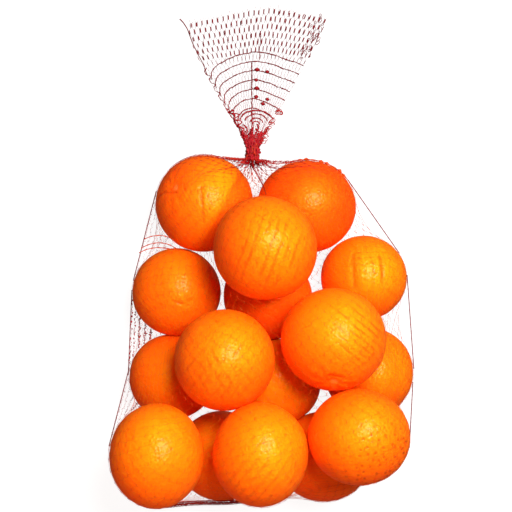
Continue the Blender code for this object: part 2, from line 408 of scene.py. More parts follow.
def peel(name):
    """Waxy peel: patches of yellow and red, darker oil glands, a few brown specks, painted light
    towards the lamp and painted shade.
    """
    radius, redness, seed = FRUIT[name][2], FRUIT[name][6], seed_of(name)
    place, add, shaded_with = finish("peel_" + name)
    moved = {"Vector": place, "Location": seed * 0.1, "Rotation": seed * 0.5}
    local = add("Mapping", "Vector", moved)

    def noisy(scale, detail):
        return add("TexNoise", "Fac", {"Vector": local, "Scale": scale, "Detail": detail})

    def cells(scale):
        return add("TexVoronoi", "Distance", {"Vector": local, "Scale": scale, "Detail": 0.0})

    def ranged(value, low, high, to_low=0.0, to_high=1.0):
        inputs = {"From Min": low, "From Max": high, "To Min": to_low, "To Max": to_high}
        return add("MapRange", "Result", {"Value": value, **inputs})

    def mixed(factor, under, over):
        inputs = {"Factor": factor, "A": under, "B": (*over, 1)}
        return add("Mix", "Result", inputs, data_type="RGBA")

    def near(way, inner, outer, strength):
        """From a strength at a spot on the peel down to nothing, between two radii in mm."""
        spot = MIDDLE[name] + HALF[name] * (np.array(way) / norm(way))
        apart = add("VectorMath", "Value", {0: place, 1: spot * MM}, operation="DISTANCE")
        return ranged(apart, inner * MM, outer * MM, strength, 0.0)

    def combined(operation, first, second):
        return add("Math", "Value", {0: first, 1: second}, operation=operation, use_clamp=True)

    def streaks(turned, spacing):
        """Short lines side by side, broken off at uneven lengths."""
        scale = 2 * math.pi / (20 * spacing * MM)
        bands = {"Vector": turned, "Scale": scale, "Distortion": 1.6, "Detail": 1.0}
        lines = ranged(add("TexWave", "Fac", bands), 0.45, 0.95)
        lengths = add("Mapping", "Vector", {"Vector": turned, "Scale": (1.0, 0.35, 0.6)})
        broken = add("TexNoise", "Fac", {"Vector": lengths, "Scale": 0.9 / (spacing * MM)})
        return combined("MULTIPLY", lines, ranged(broken, 0.38, 0.58))

    def dots(turned, spacing):
        """Dots in uneven rows."""
        spots = {"Vector": turned, "Scale": 1 / (spacing * MM), "Detail": 0.0, "Randomness": 0.75}
        apart = add("TexVoronoi", "Distance", spots, voronoi_dimensions="2D")
        return ranged(apart, 0.06, 0.27, 1.0, 0.0)

    # Painted light: yellower on the side of each fruit turned towards the lamp
    start, stop = PAINTED_LIGHT_FADE
    painted_light = near(PAINTED_LIGHT_SIDE, start * radius, stop * radius, 1.0)
    colour = mixed(painted_light, (*PEEL_ORANGE, 1), PEEL_PAINTED_LIGHT)
    shaded = ranged(noisy(PATCHES, 3.0), 0.30, 0.72, 0.6 * redness - 0.30, 0.6 * redness + 0.25)
    colour = mixed(shaded, colour, PEEL_ORANGE)
    low, high = 0.62 - 0.35 * redness, 0.95 - 0.40 * redness
    colour = mixed(ranged(noisy(BLUSH, 2.0), low, high, 0.0, 0.9), colour, PEEL_RED)
    glands = cells(GLANDS)
    colour = mixed(ranged(glands, 0.0, 0.45, 0.28, 0.0), colour, PEEL_PORE)
    colour = mixed(ranged(cells(SPECKS), 0.020, 0.045, 0.45, 0.0), colour, PEEL_SPECK)
    # Painted shade: darker in the creases, and on f07 where its neighbour's shadow falls
    painted_shade = add("Attribute", "Fac", {}, attribute_name="painted_shade")
    colour = mixed(painted_shade, colour, PEEL_PAINTED_SHADE)
    dents = painted_shade
    for kind, angle, spacing, strength, way, half_width in IMPRINTS.get(name, ()):
        turn = (0, 0, math.radians(90 - angle))
        turned = add("Mapping", "Vector", {"Vector": place, "Rotation": turn})
        mark = (streaks if kind == "streaks" else dots)(turned, spacing)
        mark = combined("MULTIPLY", mark, near(way, 0.5 * half_width, half_width, strength))
        colour = mixed(mark, colour, PEEL_DENT)
        dents = combined("ADD", dents, mark)
    for way, half_width, strength in BLEMISHES.get(name, ()):
        colour = mixed(near(way, 0.4 * half_width, half_width, strength), colour, PEEL_SPECK)
    if name in PALE_SCARS:
        way, half_width = PALE_SCARS[name]
        colour = mixed(near(way, 0.3 * half_width, half_width, 0.8), colour, PEEL_PALE)

    uneven = noisy(UNEVEN, 3.0)
    broad = add("Bump", "Normal", {"Height": uneven, "Strength": 0.35, "Distance": 0.6 * MM})
    pores = {"Height": ranged(glands, 0.0, 0.6), "Strength": 0.45, "Distance": 0.4 * MM}
    dimpled = add("Bump", "Normal", {**pores, "Normal": broad})
    prints = {"Height": dents, "Strength": 0.4, "Distance": 0.5 * MM}
    printed = add("Bump", "Normal", {**prints, "Normal": dimpled}, invert=True)
    return shaded_with({
        "Base Color": colour,
        "Roughness": ranged(uneven, 0.3, 0.7, 0.55, 0.68),
        "Normal": printed,
        "Subsurface Weight": 0.65,
        "Subsurface Radius": (1.0, 0.15, 0.03),
        "Subsurface Scale": 0.011,
        "IOR": 1.6,
        "Specular IOR Level": 1.0,
        "Specular Tint": (*PEEL_SHEEN, 1),
        "Coat Weight": 0.10,
        "Coat Roughness": 0.17,
        "Coat IOR": 1.4,
        "Coat Normal": printed,
    })


peel_shape = {}
for name in FRUIT:
    fruit_mesh = mandarin(name)
    peel_shape[name] = BVHTree.FromBMesh(fruit_mesh)
    fruit = show("mandarin_" + name, fruit_mesh, peel(name))
    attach(fruit, "root")


# --- The stem scars ---------------------------------------------------------------------
# Each mandarin was cut from its stem, and keeps the dry, five-lobed button that held it,
# sunk in the middle of its puckers. It is woody, grey-green going brown.

BUTTON = 2.6  # half-width in mm
BUTTON_TOP = 0.72  # of the half-width
BUTTON_HEIGHT = 0.9
BUTTON_RIM = (0.30, 0.10)  # how far in from the edge and how high, as shares of the half-width
BUTTON_DIP = (0.12, 0.35)  # how far in from there, as a share, and how deep in mm
BARE = ("f05", "f07")  # the button fell off, and only its hollow is left
LOBES = 5
LOBE_DEPTH = 0.22
BUTTON_GREEN = (0.16, 0.15, 0.035)
BUTTON_BROWN = (0.22, 0.10, 0.03)
BUTTON_GRAIN = 900.0  # fineness per metre


def stem_button(name):
    """A low lobed disc with a sunken middle, set on the peel where the stem was."""
    stem = Vector(FRUIT[name][5]).normalized()
    spot = peel_shape[name].ray_cast(Vector(MIDDLE[name] * MM), stem)[0]
    mesh = bmesh.new()
    bmesh.ops.create_cone(
        mesh, cap_ends=True, segments=40,
        radius1=BUTTON, radius2=BUTTON_TOP * BUTTON, depth=BUTTON_HEIGHT,
    )
    for vertex in mesh.verts:
        turn = math.atan2(vertex.co.y, vertex.co.x)
        vertex.co.xy *= 1 + LOBE_DEPTH * math.cos(LOBES * turn)
    top = max(mesh.faces, key=lambda face: face.calc_center_median().z)
    inward, up = BUTTON_RIM
    bmesh.ops.inset_region(mesh, faces=[top], thickness=inward * BUTTON, depth=up * BUTTON)
    inward, down = BUTTON_DIP
    bmesh.ops.inset_region(mesh, faces=[top], thickness=inward * BUTTON, depth=-down)
    for vertex in mesh.verts:
        vertex.co = spot + stem.to_track_quat("Z", "Y") @ (vertex.co * MM)
    button = bpy.data.meshes.new("button_" + name)
    mesh.to_mesh(button)
    mesh.free()
    return button


def button_finish():
    place, add, shaded_with = finish("dry_stem_button")
    grain = add("TexNoise", "Fac", {"Vector": place, "Scale": BUTTON_GRAIN, "Detail": 4.0})
    tints = {"A": (*BUTTON_GREEN, 1), "B": (*BUTTON_BROWN, 1)}
    return shaded_with({
        "Base Color": add("Mix", "Result", {"Factor": grain, **tints}, data_type="RGBA"),
        "Normal": add("Bump", "Normal", {"Height": grain, "Strength": 0.5, "Distance": 0.3 * MM}),
        "Roughness": 0.85,
    })


button_mesh = bmesh.new()
for name in FRUIT:
    if name not in BARE:
        button_mesh.from_mesh(stem_button(name))
bmesh.ops.recalc_face_normals(button_mesh, faces=button_mesh.faces)
buttons = show("stem_scars", button_mesh, button_finish())
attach(buttons, "root")


# --- The net ----------------------------------------------------------------------------
# A tube of knitted red plastic thread, in which every thread runs from the foot to the open
# end and is knotted to its left and its right neighbour in turn. It is drawn tight over the
# fruit, bunched at the neck, and spreads slack beyond it.

NET_THICKNESS = 0.6  # in mm, as are all lengths of the net
FOOT = (-24, -162, 36)
FOOT_WIDTH = 76
FOOT_DEPTH = 3
FOOT_SLANT = 5  # how much nearer to the neck the foot's right end is
NECK = (-7, 60, 36)
NECK_RADIUS = 3.4
NECK_LENGTH = 7
NECK_PLEATS = 7
PLEAT_DEPTH = 0.18
PLEAT_TWIST = 2.2
NECK_WAIST = 0.08
FAN_LENGTH = 99
FAN_WIDTH = 94
FAN_DEPTH = 3.0
FAN_BOW = (9, 1.2)  # how much shorter the fan is at its sides, and the curve's power
FAN_PEAK = 0.15  # share of the half-width, to the right, at which the fan is longest
FAN_LEAN = 4.5
FAN_BELLY = 41  # about ten times as much as the fan's left edge bows out
FAN_PLEATS = 5
FAN_RIPPLE = 1.2
FAN_SPREAD = 0.9
FAN_HELD = (0.36, 0.20)  # how much the neck holds the fan together, and how far along
TAIL_FALL = 82  # the open end comes down to the table in this length
TAIL_START = 6  # which starts this far past the neck
AROUND = 72  # points round the net when it is drawn tight
BAG_ROWS = 64  # and rows of them along it
ROOMY = 4
SQUARENESS = 0.6
END_SHARE = 0.22  # of the sack's rows, over which it narrows at either end
COARSE_STEPS = 900
FINE_STEPS = 250
LENGTHWAYS = 0.7  # share of the pull that runs along the net
GIVE = 0.45
GLIDE = 0.9
SETTLE_STEPS = 400
LAST_STEPS = 4
SINK = 0.9  # how far the net sags in each step
LEAST_TILT = 0.05  # a steeper side than this doesn't sag
LEAST_HEIGHT = 14
EVENNESS = 0.8  # share of the way that friction lets the net spread itself evenly

THREADS = 108
BAG_COURSES = 86  # rows of knots from the foot to the neck
TAIL_COURSES = 21
# In the bag and in the tail: half-length of a knot in rows, its half-thickness in mm, and
# the half-thickness of the thread between knots
KNOT_LENGTH = (0.14, 0.20)
KNOT = (0.078, 0.24)
THREAD = (0.038, 0.055)
CROWDED = (0.08, 0.032)  # how much thicker knot and thread are where they crowd to the neck
SLACK_FROM = (0.62, 0.12)  # share of the fan from which, and over which, its knots come loose
DRAWN_OUT = (0.2, 0.5)  # share of the fan over which its knots get thinner, and by how much
NECK_THREAD = 0.05  # how much thicker the thread is in the neck, in mm
NECK_TANGLE = (0.60, 9)  # how far the threads stray at the neck's end, and how far round it
NECK_KNOT = (0.22, 0.70)  # least and greatest half-thickness of a knot in the neck, in mm
NECK_TONE = 0.22  # how unevenly red the threads are there
STRAY = 0.13  # how far a knot strays from its place, in rows and in threads
ROW_STRAY = (0.5, 3.0)  # how many times that it strays along the net, in the bag and the neck
CUT = 0.45  # how unevenly the open end is cut, in rows
GATHERED = 9  # threads that draw together in one bunch next to the neck
GATHERING = 0.97
# What happens near the neck comes on from so many rows before it, over so many rows, and
# fades from one share of the fan's length, over another
IN_NECK = ((3, 3), (0.07, 0.12))
CROWDING = ((13, 11), (0.0, 0.15))
BUNCHING = ((20, 14), (0.12, 0.3))
# 0 is stretched over the fruit, 0.5 bunched and 1 slack, by the place in mm past the neck
SLACKNESS = ((-14, -4, 14, 50), (0, 0.5, 0.5, 1))
NEAR_PEEL = 1.5  # a thread nearer than this to a fruit may touch it
STRETCHED_RED = (0.70, 0.092, 0.005)
BUNCHED_RED = (0.40, 0.010, 0.018)
SLACK_RED = (0.20, 0.006, 0.012)
NET_WEAR = (0.7, 0.5, 0.5)
NET_GRAIN = 900.0

fruit_middles = np.array([MIDDLE[name] for name in FRUIT])
fruit_halves = np.array([HALF[name] for name in FRUIT]) + NET_THICKNESS / 2


def turns(count):
    """The angle of each point round a ring, from +X over the top to -X and back underneath."""
    return 2 * math.pi * np.arange(count) / count


def rounded(share, power):
    return np.sign(share) * np.abs(share) ** power


def ring(count, middle, half_width, half_depth, power=1.0):
    """A ring across the bag: an ellipse, or a fuller shape where power is under 1."""
    points = np.zeros((count, 3))
    points[:, 0] = middle[0] + half_width * rounded(np.cos(turns(count)), power)
    points[:, 1] = middle[1]
    points[:, 2] = middle[2] + half_depth * rounded(np.sin(turns(count)), power)
    return points


def tail_height(y):
    """Height of the net's middle beyond the neck: it comes down and lies flat."""
    fall = smooth_step((y - NECK[1] - TAIL_START) / TAIL_FALL)
    return NECK[2] + (FAN_DEPTH / 2 - NECK[2]) * fall


def neck_point(turn, t):
    """The bunched net at a share t of the neck's length, with its pleats standing out."""
    bulge = 1 + PLEAT_DEPTH * np.cos(NECK_PLEATS * turn + PLEAT_TWIST * t)
    radius = NECK_RADIUS * (1 - NECK_WAIST * np.sin(math.pi * t)) * bulge
    y = NECK[1] + NECK_LENGTH * t
    x = NECK[0] + radius * np.cos(turn)
    return np.stack([x, y + 0 * turn, tail_height(y) + radius * np.sin(turn)], axis=-1)


def fan_length(across):
    return FAN_LENGTH - FAN_BOW[0] * np.abs(across - FAN_PEAK) ** FAN_BOW[1]


def fan_half_width(t):
    spread = t**FAN_SPREAD * (1 - FAN_HELD[0] * np.exp(-((t / FAN_HELD[1]) ** 2)))
    return NECK_RADIUS + (FAN_WIDTH / 2 - NECK_RADIUS) * spread


def fan_point(turn, t):
    """The two flat layers of the open end, at a share t of the fan's length."""
    turn = np.mod(turn, 2 * math.pi)
    across = 1 - 2 * np.minimum(turn, 2 * math.pi - turn) / math.pi
    side = rounded(np.sin(turn), 0.5)
    half_depth = FAN_DEPTH / 2 + (NECK_RADIUS - FAN_DEPTH / 2) * (1 - t) ** 2
    y = NECK[1] + NECK_LENGTH + fan_length(across) * t
    ripple = FAN_RIPPLE * np.sin(math.pi * t) * np.cos(FAN_PLEATS * math.pi * across)
    middle = np.maximum(tail_height(y) + ripple, half_depth)
    belly = FAN_BELLY * t**3 * (1 - t) * np.minimum(across, 0) ** 2
    x = NECK[0] + fan_half_width(t) * across + FAN_LEAN * t - belly
    return np.stack([x, y, middle + half_depth * side], axis=-1)


def foot_ring(count):
    """The sewn foot, a flat slanting line across the bag's end."""
    foot = ring(count, FOOT, FOOT_WIDTH / 2, FOOT_DEPTH / 2)
    foot[:, 1] += FOOT_SLANT * (foot[:, 0] - FOOT[0] + FOOT_WIDTH / 2) / FOOT_WIDTH
    return foot


def slack_net(rows, count):
    """The net before it is drawn tight: a roomy sack round all the fruit."""
    low = (fruit_middles - fruit_halves).min(axis=0) - ROOMY
    high = (fruit_middles + fruit_halves).max(axis=0) + ROOMY
    middle, half = (low + high) / 2, (high - low) / 2
    foot, neck = foot_ring(count), neck_point(turns(count), 0.0)
    net = []
    for row in range(rows + 1):
        t = row / rows
        along = min(max((t - END_SHARE) / (1 - 2 * END_SHARE), 0.0), 1.0)
        y = low[1] + (high[1] - low[1]) * along
        full = ring(count, (middle[0], y, middle[2]), half[0], half[2], SQUARENESS)
        if t < END_SHARE:
            full = foot + (full - foot) * (t / END_SHARE)
        elif t > 1 - END_SHARE:
            full = neck + (full - neck) * ((1 - t) / END_SHARE)
        net.append(full)
    return np.array(net)


def off_the_fruit(net):
    """Move every point that is inside a fruit to that fruit's surface."""
    for middle, half in zip(fruit_middles, fruit_halves):
        away = (net - middle) / half
        length = np.sqrt(np.einsum("...i,...i", away, away))
        inside = length < 1
        net[inside] = middle + away[inside] * half / length[inside][:, None]
    return net


def beside(values):
    """The sum of what each point's two neighbours round the net have."""
    return np.roll(values, -1, axis=1) + np.roll(values, 1, axis=1)


def draw_in(net, steps):
    """Pull every point towards its four neighbours, and keep it off the fruit and the table."""
    speed = np.zeros_like(net)
    foot, neck = net[0].copy(), net[-1].copy()
    for _ in range(steps):
        along = net[:-2] + net[2:]
        pull = (LENGTHWAYS * along + (1 - LENGTHWAYS) * beside(net)[1:-1]) / 2 - net[1:-1]
        speed[1:-1] = GLIDE * speed[1:-1] + GIVE * pull
        moved = off_the_fruit(net + speed)
        moved[..., 2] = np.maximum(moved[..., 2], 0.0)
        moved[0], moved[-1] = foot, neck
        speed = moved - net
        net = moved
    return net


def finer(net):
    """The same net, divided twice as finely each way."""
    around = np.zeros((net.shape[0], 2 * net.shape[1], 3))
    around[:, 0::2] = net
    around[:, 1::2] = (net + np.roll(net, -1, axis=1)) / 2
    both = np.zeros((2 * around.shape[0] - 1, around.shape[1], 3))
    both[0::2] = around
    both[1::2] = (around[1:] + around[:-1]) / 2
    return both


def settle(net):
    """Let the net's upper side sag straight down into the hollows between the fruit."""
    around = np.roll(net, -1, axis=1) - np.roll(net, 1, axis=1)
    normal = np.cross(np.gradient(net, axis=0), around)
    facing_up = np.clip(normal[..., 2] / np.maximum(norm(normal, axis=2), 1e-9), 0, 1)
    facing_up[[0, -1]] = 0
    tight = net[..., 2].copy()
    lowest = np.full(net.shape[:2], float(LEAST_HEIGHT))
    for middle, half in zip(fruit_middles, fruit_halves):
        away = (net[..., :2] - middle[:2]) / half[:2]
        over = 1 - np.einsum("...i,...i", away, away)
        top = middle[2] + half[2] * np.sqrt(np.maximum(over, 0))
        lowest = np.where(over > 0, np.maximum(lowest, top), lowest)
    lowest = np.minimum(lowest, tight)
    height = tight.copy()
    for _ in range(SETTLE_STEPS):
        mean = height.copy()
        mean[1:-1] = (height[:-2] + height[2:] + beside(height)[1:-1]) / 4
        sunk = np.clip(mean - SINK * facing_up, lowest, tight)
        height = np.where(facing_up > LEAST_TILT, sunk, tight)
    net[..., 2] = height
    return net


def drawn_bag():
    """The net between foot and neck, tight at the sides and settled into the hollows on top."""
    net = finer(draw_in(slack_net(BAG_ROWS // 2, AROUND // 2), COARSE_STEPS))
    net[0] = foot_ring(AROUND)
    net[-1] = neck_point(turns(AROUND), 0.0)
    net = draw_in(settle(draw_in(net, FINE_STEPS)), LAST_STEPS)
    return off_the_fruit(finer(net))


def run_along(line):
    """How far along a line each of its points is."""
    return np.r_[0, np.cumsum(norm(np.diff(line, axis=0), axis=1))]


def points_at(wanted, run, line):
    """The points that are this far along a line."""
    return np.stack([np.interp(wanted, run, values) for values in line.T], axis=1)


def spread_evenly(line, closed):
    """The same line with its points moved along it, most of the way to even spacing."""
    count = len(line)
    if closed:
        line = np.concatenate([line, line[:1]])
    run = run_along(line)
    even = run[-1] * np.arange(len(line)) / (len(line) - 1)
    shift = (even - run)[:count].mean() if closed else 0.0
    wanted = run + EVENNESS * (even - shift - run)
    if closed:
        wanted = np.mod(wanted, run[-1])
    return points_at(wanted, run, line)[:count]


bag_net = drawn_bag()
for row in range(1, len(bag_net) - 1):
    bag_net[row] = spread_evenly(bag_net[row], True)
for column in range(bag_net.shape[1]):
    bag_net[:, column] = spread_evenly(bag_net[:, column], False)
bag_net = off_the_fruit(bag_net)


def bag_point(thread, course):
    """A place on the bag's net, by thread round it and by row of knots along it."""
    row = np.clip(course / BAG_COURSES, 0, 1) * (bag_net.shape[0] - 1)
    low_row = np.minimum(row.astype(int), bag_net.shape[0] - 2)
    row_share = (row - low_row)[..., None]
    column = np.mod((thread + 0.5) / THREADS, 1) * bag_net.shape[1]
    low = column.astype(int) % bag_net.shape[1]
    high = (low + 1) % bag_net.shape[1]
    share = (column - np.floor(column))[..., None]
    near = bag_net[low_row, low] * (1 - share) + bag_net[low_row, high] * share
    far = bag_net[low_row + 1, low] * (1 - share) + bag_net[low_row + 1, high] * share
    return near * (1 - row_share) + far * row_share


def near_neck(course, coming, fading):
    """From 0 up to 1 in the rows before the neck, and down to 0 again along the fan."""
    rows = course - BAG_COURSES
    come = smooth_step((rows + coming[0]) / coming[1])
    return come * (1 - smooth_step((rows / TAIL_COURSES - fading[0]) / fading[1]))


def net_point(thread, course):
    """A place on the whole net, whose threads draw together in bunches next to the neck."""
    turn = 2 * math.pi * (thread + 0.5) / GATHERED
    drawn = near_neck(course, *BUNCHING)
    thread = thread - GATHERING * drawn * GATHERED / (2 * math.pi) * np.sin(turn)
    turn = 2 * math.pi * (thread + 0.5) / THREADS
    beyond = (course - BAG_COURSES) / TAIL_COURSES * (NECK_LENGTH + FAN_LENGTH)
    in_bag = (course <= BAG_COURSES)[..., None]
    in_neck = (beyond <= NECK_LENGTH)[..., None]
    neck = neck_point(turn, np.clip(beyond / NECK_LENGTH, 0, 1))
    fan = fan_point(turn, np.clip((beyond - NECK_LENGTH) / FAN_LENGTH, 0, 1))
    return np.where(in_bag, bag_point(thread, course), np.where(in_neck, neck, fan))


all_courses = BAG_COURSES + TAIL_COURSES
straying = np.random.default_rng(5)
stray_course = straying.normal(0, STRAY, (all_courses, THREADS))
stray_place = straying.normal(0, STRAY, (all_courses, THREADS))
cut_end = straying.uniform(-CUT, CUT, THREADS)
tangle = straying.normal(0, 1, (THREADS, 4 * all_courses, 3))
neck_tone = straying.normal(0, NECK_TONE, THREADS)
neck_knot = straying.uniform(*NECK_KNOT, (all_courses, THREADS))


def blend(pair, share):
    return pair[0] + (pair[1] - pair[0]) * share


def thread_course(index):
    """Where one thread runs: rows, sideways places and half-thickness of all its points."""
    points = []
    for course in range(1, all_courses):
        fan = (course - BAG_COURSES) / TAIL_COURSES
        tail = smooth_step((fan - SLACK_FROM[0]) / SLACK_FROM[1])
        in_neck = near_neck(course, *IN_NECK)
        crowded = near_neck(course, *CROWDING)
        drawn_out = smooth_step(fan / DRAWN_OUT[0]) * (1 - tail)
        half_knot = blend(KNOT_LENGTH, tail)
        knot = blend(KNOT, tail) * (1 - DRAWN_OUT[1] * drawn_out) + CROWDED[0] * crowded
        thin = blend(THREAD, tail) + NECK_THREAD * in_neck + CROWDED[1] * crowded
        side = 0.5 if (course + index) % 2 == 0 else -0.5
        key = (course, (index if side > 0 else index - 1) % THREADS)
        knot += (neck_knot[key] - knot) * in_neck
        at = course + stray_course[key] * blend(ROW_STRAY, in_neck)
        aside = side + stray_place[key]
        half_gap = (0.5 - half_knot) / 2
        points += [
            (at - half_knot, aside, knot),
            (at + half_knot, aside, knot),
            (at + half_knot + half_gap, aside * 0.5, thin),
            (course + 1 - half_knot - half_gap, -side * 0.5, thin),
        ]
    run = np.array(points).T
    run[0, -1] += cut_end[index]
    return run


def clear_of_fruit(points, thickness):
    """Lift thread points that would sink into the peel."""
    for name, tree in peel_shape.items():
        middle = Vector(MIDDLE[name] * MM)
        away = points - MIDDLE[name]
        length = norm(away, axis=1)
        for index in np.nonzero(length < HALF[name].max() + NEAR_PEEL)[0]:
            way = Vector(away[index] / length[index])
            spot = tree.ray_cast(middle, way)[0]
            if spot is None:
                continue
            least = (spot - middle).length / MM + thickness[index]
            if length[index] < least:
                points[index] = MIDDLE[name] + np.array(way) * least
    return points


def slackness(points):
    return np.interp(points[:, 1] - NECK[1], *SLACKNESS)


def net_thread(index, from_course, to_course):
    """One thread between two rows of knots: its points, half-thickness in mm and slackness."""
    run = thread_course(index)
    courses, places, thickness = run[:, (run[0] >= from_course) & (run[0] <= to_course)]
    left = net_point(np.full_like(courses, index + 0.0), courses)
    right = net_point(np.full_like(courses, index + 1.0), courses)
    spacing = norm(right - left, axis=1)
    touching_side = np.clip(0.7 * thickness / np.maximum(spacing, 1e-6), 0, 0.5)
    places = np.sign(places) * np.maximum(np.abs(places) - touching_side, 0)
    points = net_point(index + places, courses)
    stray, reach = NECK_TANGLE
    in_neck = np.exp(-(((points[:, 1] - NECK[1] - NECK_LENGTH) / reach) ** 2))
    points += stray * in_neck[:, None] * tangle[index][: len(points)]
    points = clear_of_fruit(points, thickness)
    points[:, 2] = np.maximum(points[:, 2], thickness)
    return points, thickness, slackness(points) + in_neck * neck_tone[index]


def tubes(name, runs):
    """A piece of round threads: each run has its points, half-thickness in mm and slackness."""
    curve = bpy.data.curves.new(name, "CURVE")
    curve.dimensions = "3D"
    curve.bevel_depth = MM
    curve.bevel_resolution = 0
    for points, thickness, _ in runs:
        spline = curve.splines.new("POLY")
        spline.points.add(len(points) - 1)
        spline.points.foreach_set("co", np.c_[points * MM, np.ones(len(points))].ravel())
        spline.points.foreach_set("radius", thickness)
    drawn = put_in(name + "_run", curve)
    depsgraph = bpy.context.evaluated_depsgraph_get()
    data = bpy.data.meshes.new_from_object(drawn.evaluated_get(depsgraph))
    bpy.data.objects.remove(drawn)
    data.name = name
    data.shade_smooth()
    tones = np.concatenate([np.full(len(points), tone) for points, _, tone in runs])
    tones = np.repeat(tones, len(data.vertices) // len(tones))
    slack = data.attributes.new("slack", "FLOAT", "POINT")
    slack.data.foreach_set("value", tones.astype(np.float32))
    mesh = bmesh.new()
    mesh.from_mesh(data)
    bmesh.ops.holes_fill(mesh, edges=[edge for edge in mesh.edges if edge.is_boundary])
    bmesh.ops.recalc_face_normals(mesh, faces=mesh.faces)
    mesh.to_mesh(data)
    mesh.free()
    data.materials.clear()
    data.materials.append(net_red)
    piece = put_in(name, data)
    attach(piece, "root")
    return piece


def net_finish():
    """Plastic thread that is orange where it is stretched, and deep red where it is slack."""
    place, add, shaded_with = finish("red_net_thread")
    grain = add("TexNoise", "Fac", {"Vector": place, "Scale": NET_GRAIN})
    slack = add("Attribute", "Fac", {}, attribute_name="slack")
    tint = add("ValToRGB", "Color", {"Fac": slack})
    stops = tint.node.color_ramp.elements
    stops[0].color = (*STRETCHED_RED, 1)
    stops[1].color = (*SLACK_RED, 1)
    stops.new(0.5).color = (*BUNCHED_RED, 1)
    worn = {"Factor": grain, "A": tint, "B": (*NET_WEAR, 1)}
    return shaded_with({
        "Base Color": add("Mix", "Result", worn, data_type="RGBA", blend_type="MULTIPLY"),
        "Normal": add("Bump", "Normal", {"Height": grain, "Strength": 0.3, "Distance": 0.2 * MM}),
        "Roughness": 0.42,
        "Specular IOR Level": 0.12,
    })


net_red = net_finish()
bag_threads = [net_thread(index, 0, BAG_COURSES) for index in range(THREADS)]
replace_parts(tubes("net_upper_side", bag_threads[: THREADS // 2]), "net_bag")
tubes("net_under_side", bag_threads[THREADS // 2 :])


# --- The open end -----------------------------------------------------------------------
# Beyond the neck the same threads spread in a slack fan. Its last rows hang loose, while
# nearer to the neck they are still drawn out in lines, folded once down the middle.

ROW_LINE = (0.26, 0.46)  # least and greatest half-thickness of a row drawn out in a line
ROW_STEP = 0.067  # from one row to the next, as a share of the fan's length
DRAWN_ROWS = 7
FIRST_ROW = 0.275
FOLD_AT = -0.10  # share of the half-width at which the fan is folded
LEFT_ARCH = (0.84, 0.15)  # how far a row reaches to the left of the fold, and how far it drops
RIGHT_DROP = 0.06
RIGHT_REACH = 0.97
FOLD_KNOTS = (  # row, place right of the fold, and half-thickness in mm
    (4.0, 0.12, 2.0), (3.8, 0.36, 1.5), (2.9, 0.11, 1.5), (2.0, 0.14, 1.9),
    (1.1, 0.14, 1.6), (0.9, 0.52, 1.5), (0.4, 0.40, 1.6),
)
ARCHES = ((10.5, 6.8), (7.2, 5.4), (4.2, 3.6), (2.2, 2.0))  # half-width and height in mm
ARCH_FOOT = (-4.6, 82.0)
NECK_ROPES = (  # place across the fan, and how far along it they reach
    (-0.95, 0.30), (-0.55, 0.17), (-0.15, 0.14), (0.25, 0.16), (0.60, 0.12), (0.92, 0.15),
)
NECK_LUMPS = 130
# Stray loops at the neck's right side and at the frayed right corner: how many, between which
# shares of the fan's length and of its half-width, which way in radians, size in mm, slackness
# and greatest half-thickness of the thread in mm
STRAY_LOOPS = (
    (18, (0.02, 0.30), (0.9,), (-0.5, 0.9), (1.3, 2.9), 0.45, 0.34),
    (26, (0.62, 1.0), (0.80, 1.0), (0.2, 2.2), (0.9, 2.2), 1.0, 0.26),
)
LOOSE_END = (
    (-36.8, 118.0), (-40.4, 127.0), (-43.6, 133.0), (-47.0, 140.0),
    (-50.4, 149.4), (-53.2, 153.6), (-55.4, 155.8),
)


def on_fan(across, t, lift=0.3):
    """Points on the fan's upper layer, by share of its half-width and of its length."""
    turn = (1 - np.clip(across, -0.999, 0.999)) * math.pi / 2
    points = fan_point(turn, np.clip(t, 0, 1.1))
    points[..., 2] += lift
    return points


def at_fan(x, y, lift):
    """The same, by place in mm."""
    across = np.zeros_like(x)
    for _ in range(6):
        t = np.clip((y - NECK[1] - NECK_LENGTH) / fan_length(across), 0, 1.1)
        across = np.clip((x - NECK[0] - FAN_LEAN * t) / fan_half_width(t), -1, 1)
    points = on_fan(across, t, lift)
    points[..., 0], points[..., 1] = x, y
    return points


def strand(points, least, greatest, tone=None):
    """A thread with small knots all along it: its points, half-thickness and slackness."""
    thickness = straying.uniform(least, greatest, len(points))
    points = points + straying.normal(0, 0.12, points.shape)
    points[:, 2] = np.maximum(points[:, 2], thickness)
    return points, thickness, slackness(points) if tone is None else tone


def lump(points, size, ends, tone):
    """A heavy knot drawn through five points, thinner at its ends."""
    return points, size * np.array((ends, 0.9, 1.0, 0.9, ends)), tone


def drawn_rows():
    """Rows drawn out in lines: level to the right of the fold, arched down to its left."""
    rows = []
    for row in range(DRAWN_ROWS):
        t = FIRST_ROW + ROW_STEP * row
        share = np.linspace(0, 1, 26)
        right = on_fan(FOLD_AT + (RIGHT_REACH - FOLD_AT) * share, t - RIGHT_DROP * share)
        rows.append(strand(right, *ROW_LINE))
        turn = np.linspace(0, math.pi / 2, 26)
        reach, drop = LEFT_ARCH
        left = on_fan(FOLD_AT - reach * np.sin(turn), t - drop * (1 - np.cos(turn)))
        rows.append(strand(left, *ROW_LINE))
    for half_width, height in ARCHES:
        turn = np.linspace(0.15, math.pi - 0.15, 18)
        x = ARCH_FOOT[0] + half_width * np.cos(turn)
        y = ARCH_FOOT[1] + half_width * 0.3 + height * np.sin(turn)
        rows.append(strand(at_fan(x, y, 0.9), 0.28, 0.60))
    return rows


def fold_line():
    """The doubled edge of the fold, with heavy knots beside it."""
    t = np.linspace(0.02, 0.60, 60)
    runs = [strand(on_fan(FOLD_AT + 0 * t, t, 0.5), 0.26, 0.55)]
    t = np.linspace(0.60, 0.80, 20)
    runs.append(strand(on_fan(FOLD_AT + 0.15 + 0 * t, t, 0.5), 0.12, 0.34))
    for row, aside, size in FOLD_KNOTS:
        t = FIRST_ROW + ROW_STEP * row + np.linspace(-0.010, 0.010, 5)
        runs.append(lump(on_fan(FOLD_AT + aside + 0 * t, t, 0.6), size, 0.3, 0.75))
    return runs


